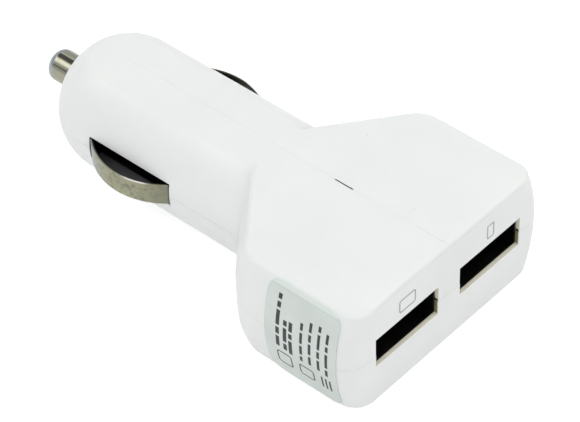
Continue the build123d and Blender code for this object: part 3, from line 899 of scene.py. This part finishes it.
def board_mask():
    """Green solder mask over copper tracks, with pale dots of solder."""
    material, tree = start_material("board_green")
    cells = add(
        tree, "ShaderNodeTexVoronoi", Vector=place_on(tree), distance="MANHATTAN",
        feature="DISTANCE_TO_EDGE", Scale=260.0)
    track = calc(tree, "LESS_THAN", cells.outputs["Distance"], 0.12)
    solder = use(tree, fine_specks, Speck_Scale=520, Speck_Size=0.16, Share=0.16)["Mask"]
    tone = mixed(tree, track, (0.012, 0.085, 0.035), (0.03, 0.17, 0.07))
    tone = mixed(tree, solder, tone, (0.55, 0.55, 0.53))
    return finished(material, tone, solder, (0.35, 0.25), track, 0.3, 0.02 * MM)


def wound_copper():
    """Enamelled copper in close turns round an upright core."""
    material, tree = start_material("copper_wire")
    turns = add(
        tree, "ShaderNodeTexWave", Vector=place_on(tree), bands_direction="Z", Scale=620.0,
        Distortion=0.4).outputs["Fac"]
    # The dark bands are painted shade in the grooves between the turns; the bright bands are the copper's
    # own colour
    tone = mixed(tree, turns, (0.16, 0.045, 0.015), (0.72, 0.3, 0.13))
    return finished(material, tone, turns, (0.5, 0.25), turns, 0.6, 0.1 * MM, Metallic=0.85)


def lamp_lens():
    """Diffused pale lamp."""
    material, tree = start_material("lamp_lens")
    grain = use(tree, moulded_grain, Grain_Scale=5000, Cloud_Scale=500)
    tone = mixed(tree, grain["Cloud"], (0.62, 0.66, 0.68), (0.74, 0.78, 0.8))
    return finished(
        material, tone, grain["Cloud"], (0.14, 0.24), grain["Height"], 0.1, 0.004 * MM,
        Transmission_Weight=0.5)


# Pieces


class CHARGER_OT_housing(bpy.types.Operator):
    """Dress both halves of the housing in grained white plastic"""

    bl_idname = "charger.housing"
    bl_label = "Housing halves"

    def execute(self, context):
        look = context.scene.charger_housing
        plastic = shell_plastic(look)
        lamp_low, lamp_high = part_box("indicator_led")
        above_lamp = ((-1, lamp_low.y, lamp_high.z), (1, lamp_high.y, 1))
        for node, name in (("upper_shell", "upper_half"), ("lower_shell", "lower_half")):
            piece = joined_copy(node, name)
            narrow(piece, Z, HALF_SEAM, look.seam, 2 * cad_low, 2 * cad_high)
            narrow(piece, X, HALF_SLIT, look.slit, *above_lamp)
            blend_root(piece, look.root_blend)
            shade(piece, look.smooth_angle)
            settle(piece, "housing", "shell_white", plastic, node)
        return {"FINISHED"}


class CHARGER_OT_side_contacts(bpy.types.Operator):
    """Dress the two side contacts as worn nickel leaves with softened edges, a painted edge highlight, a
    painted reflection and painted shade
    """

    bl_idname = "charger.side_contacts"
    bl_label = "Side contacts"

    def execute(self, context):
        look = context.scene.charger_metal
        plating = leaf_plating(look)
        for side in ("left", "right"):
            node = f"side_contact_{side}"
            piece = joined_copy(node, f"{side}_leaf")
            apply_modifier(
                piece, "BEVEL", width=look.edge_round, segments=2, limit_method="ANGLE",
                angle_limit=math.radians(60))
            shade(piece, below=math.radians(50))
            settle(piece, f"{side}_contact", "contact_nickel", plating, node)
        return {"FINISHED"}


class CHARGER_OT_tip(bpy.types.Operator):
    """Dress the tip contact as a polished, turned pin"""

    bl_idname = "charger.tip"
    bl_label = "Tip contact"

    def execute(self, context):
        look = context.scene.charger_metal
        piece = joined_copy("tip_contact", "tip_pin")
        shade(piece, below=math.radians(40))
        plating = plated_metal(
            "pin_nickel", look.pin, (0.34, 0.31, 0.2), stretch=(0.12, 2.0, 0.12), rough=(0.08, 0.2),
            patch=420, cover=0.62)
        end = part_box("tip_contact")[1].y
        # Painted reflection: bluish round the pin's end
        cool_reflection_mask = ramp(plating.node_tree, "Y", *(end - distance for distance in COOL_REFLECTION_FADE))
        tinted(plating, cool_reflection_mask, look.cool)
        settle(piece, "tip", "pin_nickel", plating, "tip_contact")
        return {"FINISHED"}


class CHARGER_OT_spring(bpy.types.Operator):
    """Wind the tip's spring as a smooth coil"""

    bl_idname = "charger.spring"
    bl_label = "Tip spring"

    def execute(self, context):
        look = context.scene.charger_metal
        low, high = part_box("tip_spring")
        wire = look.spring_wire
        coil_radius = (high.x - low.x - wire) / 2
        bpy.ops.object.select_all(action="DESELECT")
        bpy.ops.mesh.primitive_circle_add(
            vertices=WIRE_SIDES, radius=wire / 2, location=(coil_radius, 0, 0),
            rotation=(math.pi / 2, 0, 0))
        piece = context.active_object
        piece.name = "tip_coil"
        bpy.ops.object.transform_apply(location=True, rotation=True, scale=True)
        steps = round(TURN_STEPS * look.spring_turns)
        apply_modifier(
            piece, "SCREW", axis="Z", angle=2 * math.pi * look.spring_turns,
            screw_offset=high.y - low.y - wire, steps=steps, render_steps=steps, use_merge_vertices=False)
        in_edit(
            lambda: bpy.ops.mesh.fill_holes(sides=0),
            lambda: bpy.ops.mesh.normals_make_consistent(inside=False),
        )
        lie_down = Matrix.Rotation(-math.pi / 2, 4, "X")
        piece.matrix_world = Matrix.Translation((0, low.y + wire / 2, 0)) @ lie_down
        only(piece)
        bpy.ops.object.transform_apply(location=True, rotation=True, scale=True)
        shade(piece, below=math.radians(60))
        settle(piece, "housing", "spring_steel", inner_finish("spring_steel"), "tip_spring")
        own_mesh(piece)
        return {"FINISHED"}


class CHARGER_OT_sticker(bpy.types.Operator):
    """Lay the silver-grey sticker on the head's side, with plain printed bars and frames"""

    bl_idname = "charger.sticker"
    bl_label = "Sticker"

    def execute(self, context):
        look = context.scene.charger_print
        sticker = joined_copy("rating_label", "sticker")
        shade(sticker, below=math.radians(50))
        settle(sticker, "housing", "label_silver", sticker_film(look), "rating_label")
        sheets = []
        for line in range(len(PRINTED_LINES)):
            sheets += word_bars(line, look.word_gap)
        for frame_sizes in PRINTED_FRAMES:
            y, z, *size = (MM * value for value in frame_sizes)
            sheets.append(framed_sheet("frame", beside_sticker(y, z), size, look.stroke, FACING_LEFT))
        for stroke_sizes in PRINTED_STROKES:
            y, z, *size = (MM * value for value in stroke_sizes)
            sheets.append(printed_bar(y, z, size))
        printed = join(sheets, "sticker_print")
        apply_modifier(printed, "SHRINKWRAP", target=sticker, wrap_method="PROJECT", use_project_x=True)
        apply_modifier(printed, "SOLIDIFY", thickness=2 * look.ink_height, offset=0)
        settle(printed, "housing", "label_silver", printed_ink("sticker_ink", look.ink))
        return {"FINISHED"}


class CHARGER_OT_port_marks(bpy.types.Operator):
    """Print a plain outline of a tablet over one port and of a phone over the other"""

    bl_idname = "charger.port_marks"
    bl_label = "Port marks"

    def execute(self, context):
        look = context.scene.charger_print
        ink = printed_ink("mark_grey", look.mark)
        for side, size in PORT_MARKS.items():
            low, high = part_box(f"usb_shell_{side}")
            middle = ((low.x + high.x) / 2, cad_low.y, look.mark_height)
            piece = framed_sheet(f"{side}_port_mark", middle, size, look.stroke, FACING_FRONT)
            apply_modifier(piece, "SOLIDIFY", thickness=2 * look.ink_height, offset=0)
            settle(piece, "housing", "shell_white", ink)
        return {"FINISHED"}


class CHARGER_OT_ground_leads(bpy.types.Operator):
    """Copy the ground leads with finer divisions, smooth shading and their cover"""

    bl_idname = "charger.ground_leads"
    bl_label = "Ground leads"

    def execute(self, context):
        cover = inner_finish("lead_cover")
        for side, sign in (("left", -1), ("right", 1)):
            node = f"ground_lead_{side}"
            piece = joined_copy(node, f"{side}_lead")
            in_edit(lambda: bpy.ops.mesh.subdivide(number_cuts=5))
            shade(piece, below=math.radians(40))
            piece.data.materials.append(cover)
            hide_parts(node)
            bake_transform(piece)
        return {"FINISHED"}


class CHARGER_OT_sockets(bpy.types.Operator):
    """Finish the sockets behind the ports"""

    bl_idname = "charger.sockets"
    bl_label = "Sockets"

    def execute(self, context):
        dress(inner_finish("socket_steel"), "usb_shell_left", "usb_shell_right")
        dress(inner_finish("socket_black"), "usb_tongue_left", "usb_tongue_right")
        dress(inner_finish("contact_gold"), "usb_contacts_left", "usb_contacts_right")
        return {"FINISHED"}


class CHARGER_OT_board(bpy.types.Operator):
    """Finish the board and the parts on it"""

    bl_idname = "charger.board"
    bl_label = "Board and its parts"

    def execute(self, context):
        dress(board_mask(), "circuit_board")
        dress(wound_copper(), "inductor_winding")
        dress(lamp_lens(), "indicator_led")
        dress(inner_finish("terminal_brass"), "tip_terminal")
        dress(inner_finish("ferrite"), "inductor_core")
        dress(inner_finish("can_sleeve"), "input_capacitor", "output_capacitor")
        dress(inner_finish("chip_black"), "converter_chip", "rectifier_diode", "chip_resistors")
        dress(inner_finish("tinned_lead"), "chip_leads", "led_leads")
        dress(inner_finish("ceramic_tan"), "chip_capacitors")
        return {"FINISHED"}


class CHARGER_OT_stage(bpy.types.Operator):
    """Lay a pale floor and set soft studio light and the camera"""

    bl_idname = "charger.stage"
    bl_label = "Stage"

    def execute(self, context):
        look = context.scene.charger_stage
        lay_floor(look)
        light_world(context.scene, look)
        place_camera(context.scene, look)
        context.scene.view_settings.view_transform = "Standard"
        return {"FINISHED"}


def lay_floor(look):
    """A wide pale floor just under the part's lowest point, clear when it is seen from below."""
    bpy.ops.object.select_all(action="DESELECT")
    bpy.ops.mesh.primitive_plane_add(size=FLOOR_SIZE, location=(0, 0, cad_low.z - FLOOR_GAP))
    floor = bpy.context.active_object
    floor.name = "floor"
    material, tree = start_material("floor_pale")
    # Sampled as a lamp, a glowing floor so near the part shows its triangles on the underside
    material.cycles.emission_sampling = "NONE"
    shader = shader_of(material)
    cloud = use(tree, moulded_grain, Grain_Scale=400, Cloud_Scale=3)["Cloud"]
    tree.links.new(mixed(tree, cloud, look.floor, toned(look.floor, 0.985)), shader["Base Color"])
    shader["Roughness"].default_value = 0.9
    shader["Specular IOR Level"].default_value = 0.1
    shader["Emission Color"].default_value = (1, 1, 1, 1)
    seen = add(tree, "ShaderNodeLightPath").outputs["Is Camera Ray"]
    glow = between(tree, seen, FLOOR_BOUNCE * look.floor_glow, look.floor_glow)
    tree.links.new(glow, shader["Emission Strength"])
    below = add(tree, "ShaderNodeNewGeometry").outputs["Backfacing"]
    clear = add(tree, "ShaderNodeBsdfTransparent").outputs[0]
    pale = tree.nodes["Principled BSDF"].outputs[0]
    either = add(tree, "ShaderNodeMixShader", below, pale, clear).outputs[0]
    tree.links.new(either, tree.nodes["Material Output"].inputs["Surface"])
    floor.data.materials.append(material)


def light_world(scene, look):
    """Soft light: bright overhead, dimmer all round, with panels for the bright metal to mirror."""
    world = bpy.data.worlds.new("studio")
    world.use_nodes = True
    scene.world = world
    tree = world.node_tree
    sky = tree.nodes["Background"].inputs
    sky["Color"].default_value = (1, 1, 1, 1)
    place = add(tree, "ShaderNodeTexCoord").outputs["Generated"]
    overhead = soft_step(tree, along(tree, place, "Z"), *OVERHEAD_FADE, high=look.overhead)
    front = soft_step(tree, along(tree, place, "Y"), *FRONT_FADE, high=look.front)
    level = calc(tree, "MAXIMUM", calc(tree, "MAXIMUM", overhead, front), look.back)
    for direction, size, share in PANELS:
        toward = vector_calc(tree, "DOT_PRODUCT", place, Vector(direction).normalized())
        edges = (math.cos(fade * size) for fade in PANEL_FADE)
        panel = soft_step(tree, toward, *edges, low=1.0, high=share)
        level = calc(tree, "MULTIPLY", level, panel)
    rays = add(tree, "ShaderNodeLightPath").outputs["Is Camera Ray"]
    seen = add(tree, "ShaderNodeMix", Factor=rays, A=level, B=BACKDROP)
    tree.links.new(seen.outputs[0], sky["Strength"])


def place_camera(scene, look):
    """The camera at the photograph's place and angle."""
    az, el, roll = look.azimuth, look.elevation, look.roll
    back = Vector((math.sin(az) * math.cos(el), -math.cos(az) * math.cos(el), math.sin(el)))
    right = Vector((math.cos(az), math.sin(az), 0))
    up = back.cross(right)
    turned_right = math.cos(roll) * right + math.sin(roll) * up
    turned_up = math.cos(roll) * up - math.sin(roll) * right
    data = bpy.data.cameras.new("camera")
    data.lens, data.sensor_width = look.lens, 36
    data.clip_start, data.clip_end = 0.01, 10
    camera = bpy.data.objects.new("camera", data)
    turn = Matrix((turned_right, turned_up, back)).transposed().to_4x4()
    camera.matrix_world = Matrix.Translation(look.camera_place) @ turn
    scene.collection.objects.link(camera)
    scene.camera = camera


class CHARGER_PT_panel(bpy.types.Panel):
    """Lists the pieces and their settings"""

    bl_idname = "CHARGER_PT_panel"
    bl_label = "Car charger plug"
    bl_space_type = "VIEW_3D"
    bl_region_type = "UI"
    bl_category = "Charger"

    def draw(self, context):
        for operator in OPERATORS:
            self.layout.operator(operator.bl_idname)
        for name, group in SETTINGS.items():
            box = self.layout.box()
            for key in group.__annotations__:
                box.prop(getattr(context.scene, name), key)


OPERATORS = (
    CHARGER_OT_housing,
    CHARGER_OT_side_contacts,
    CHARGER_OT_tip,
    CHARGER_OT_spring,
    CHARGER_OT_sticker,
    CHARGER_OT_port_marks,
    CHARGER_OT_ground_leads,
    CHARGER_OT_sockets,
    CHARGER_OT_board,
    CHARGER_OT_stage,
)


def register():
    for group in (*SETTINGS.values(), *OPERATORS, CHARGER_PT_panel):
        bpy.utils.register_class(group)
    for name, group in SETTINGS.items():
        setattr(bpy.types.Scene, name, PointerProperty(type=group))


def unregister():
    for name in SETTINGS:
        delattr(bpy.types.Scene, name)
    for group in (CHARGER_PT_panel, *reversed(OPERATORS), *SETTINGS.values()):
        bpy.utils.unregister_class(group)


def main():
    """Register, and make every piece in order."""
    register()
    for operator in OPERATORS:
        family, step = operator.bl_idname.split(".")
        getattr(getattr(bpy.ops, family), step)()


if __name__ == "__main__":
    main()
